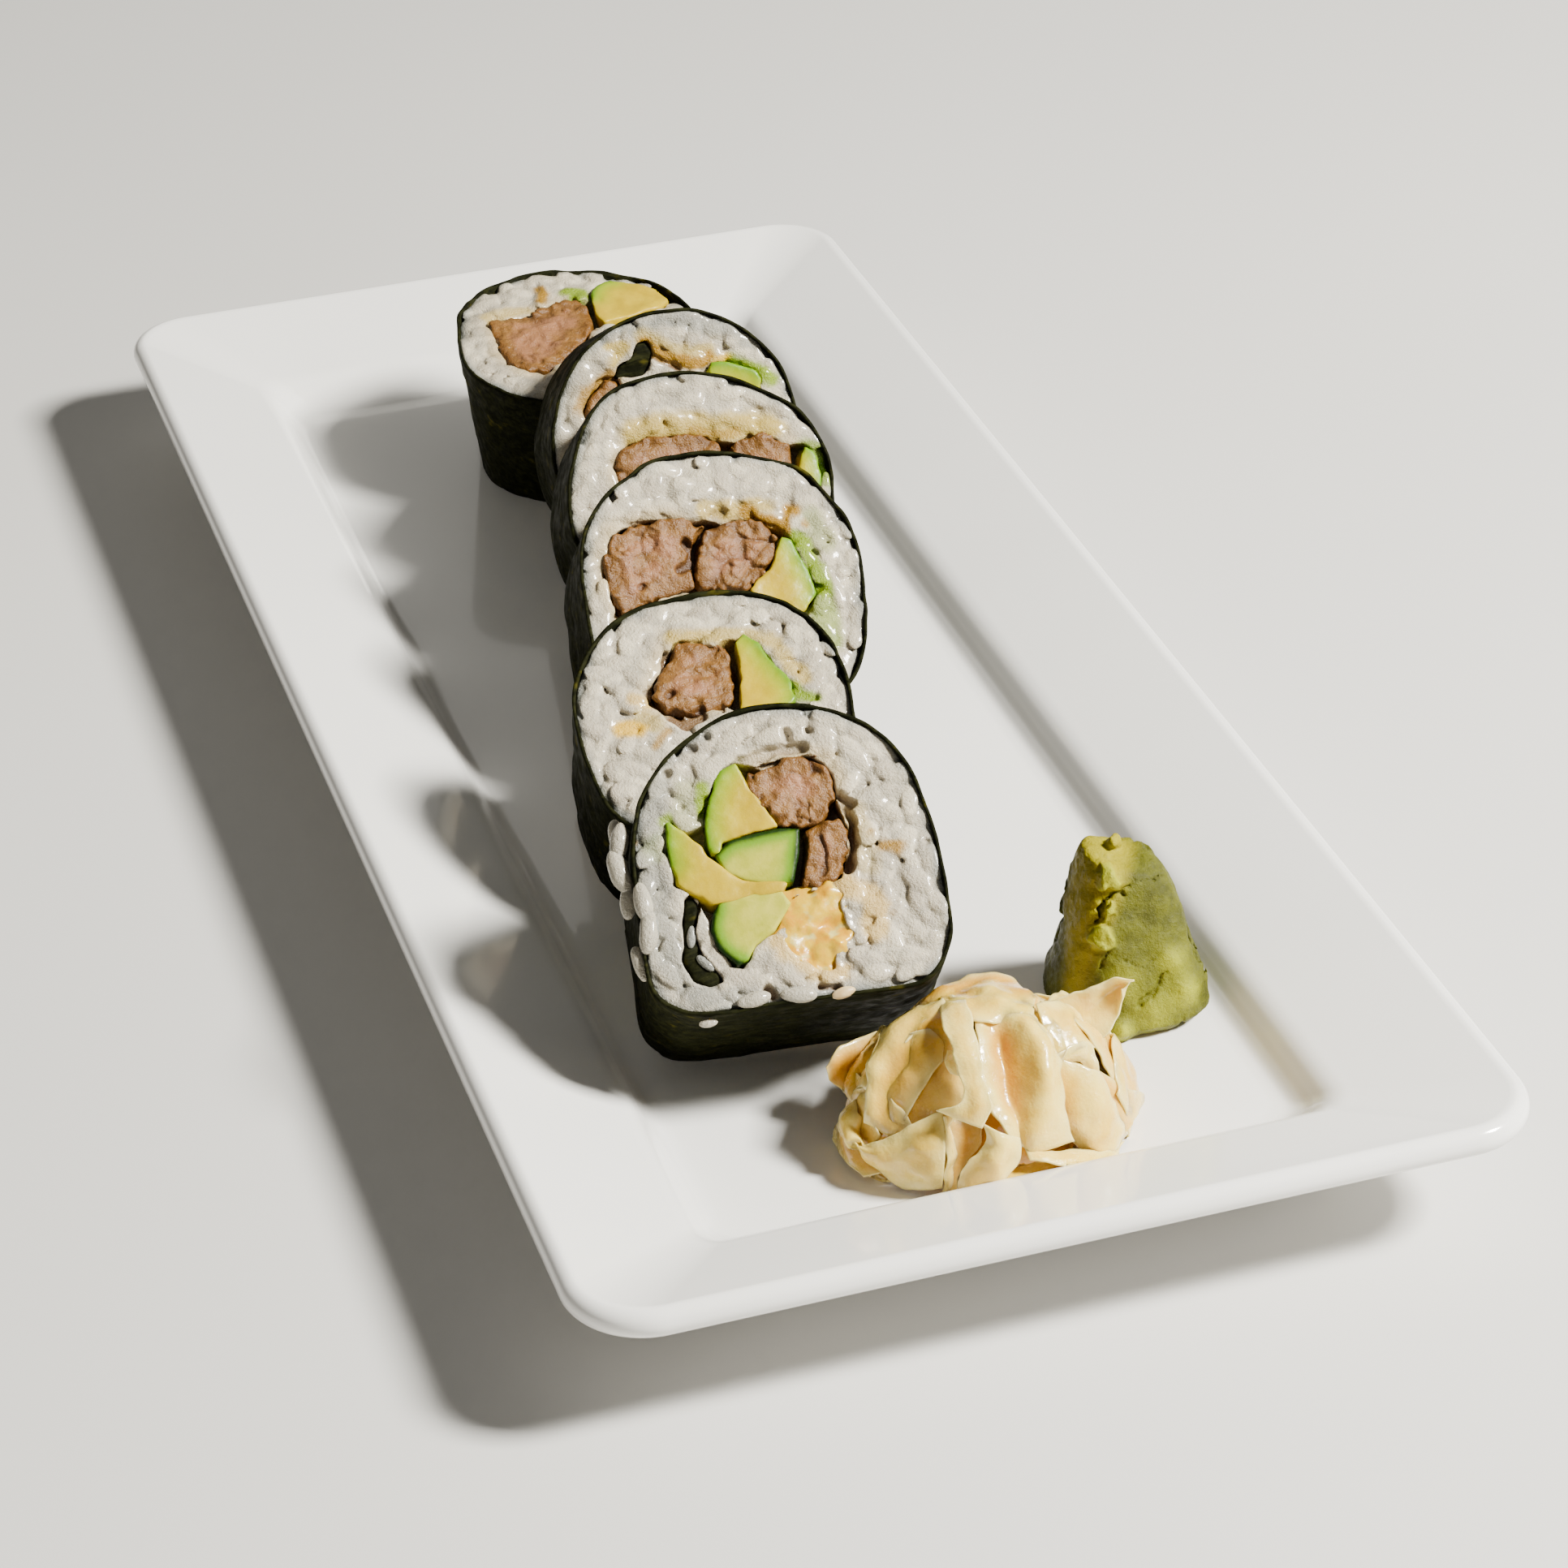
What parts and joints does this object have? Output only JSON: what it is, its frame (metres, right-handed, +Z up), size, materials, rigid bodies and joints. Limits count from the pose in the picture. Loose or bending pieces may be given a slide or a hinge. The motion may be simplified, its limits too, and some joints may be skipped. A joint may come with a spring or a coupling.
{
  "type": "maki sushi roll on a plate",
  "caption": "Cut maki sushi slices with rice, nori, tuna and avocado, leaning in a row on a rectangular plate with pickled ginger and wasabi.",
  "frame": {"origin": "on the surface that the plate stands on, under the plate's centre", "axes": "+Z up, +Y along the plate's long side from the ginger and wasabi towards the slice that lies flat, +X to the right when looking along +Y"},
  "size_m": [0.14, 0.328, 0.0588],
  "materials": {
    "porcelain": "warm white glossy glaze",
    "nori": "near-black green seaweed sheet, moist and slightly glossy, finely wrinkled",
    "rice": "moist white rice grains, slightly see-through, tinted warm by sauce in places",
    "tuna": "cooked tuna and sauce, brown-pink, flaky and moist",
    "avocado": "soft yellow-green flesh, greener at its outer edge",
    "cucumber": "wet pale green flesh with dark green skin",
    "egg_mayo": "creamy yellow-orange egg and mayonnaise",
    "ginger": "wet, see-through cream to amber slices",
    "wasabi": "matt olive-green paste, cracked and crumbly"
  },
  "bodies": {
    "root": {"plate": "porcelain", "nori_1": "nori", "rice_1": "rice", "nori_2": "nori", "rice_2": "rice", "nori_3": "nori", "rice_3": "rice", "nori_4": "nori", "rice_4": "rice", "nori_5": "nori", "rice_5": "rice", "nori_6": "nori", "rice_6": "rice", "avocado_1a": "avocado", "avocado_1b": "avocado", "tuna_1a": "tuna", "tuna_1b": "tuna", "cucumber_1a": "cucumber", "cucumber_1b": "cucumber", "egg_mayo_1": "egg_mayo", "tuna_2": "tuna", "avocado_2": "avocado", "tuna_3a": "tuna", "tuna_3b": "tuna", "avocado_3": "avocado", "tuna_4a": "tuna", "tuna_4b": "tuna", "avocado_4": "avocado", "tuna_5": "tuna", "avocado_5": "avocado", "tuna_6": "tuna", "avocado_6": "avocado", "nori_end_1": "nori", "nori_end_5": "nori", "ginger_heap": "ginger", "ginger_raised": "ginger", "wasabi": "wasabi"}
  },
  "joints": []
}
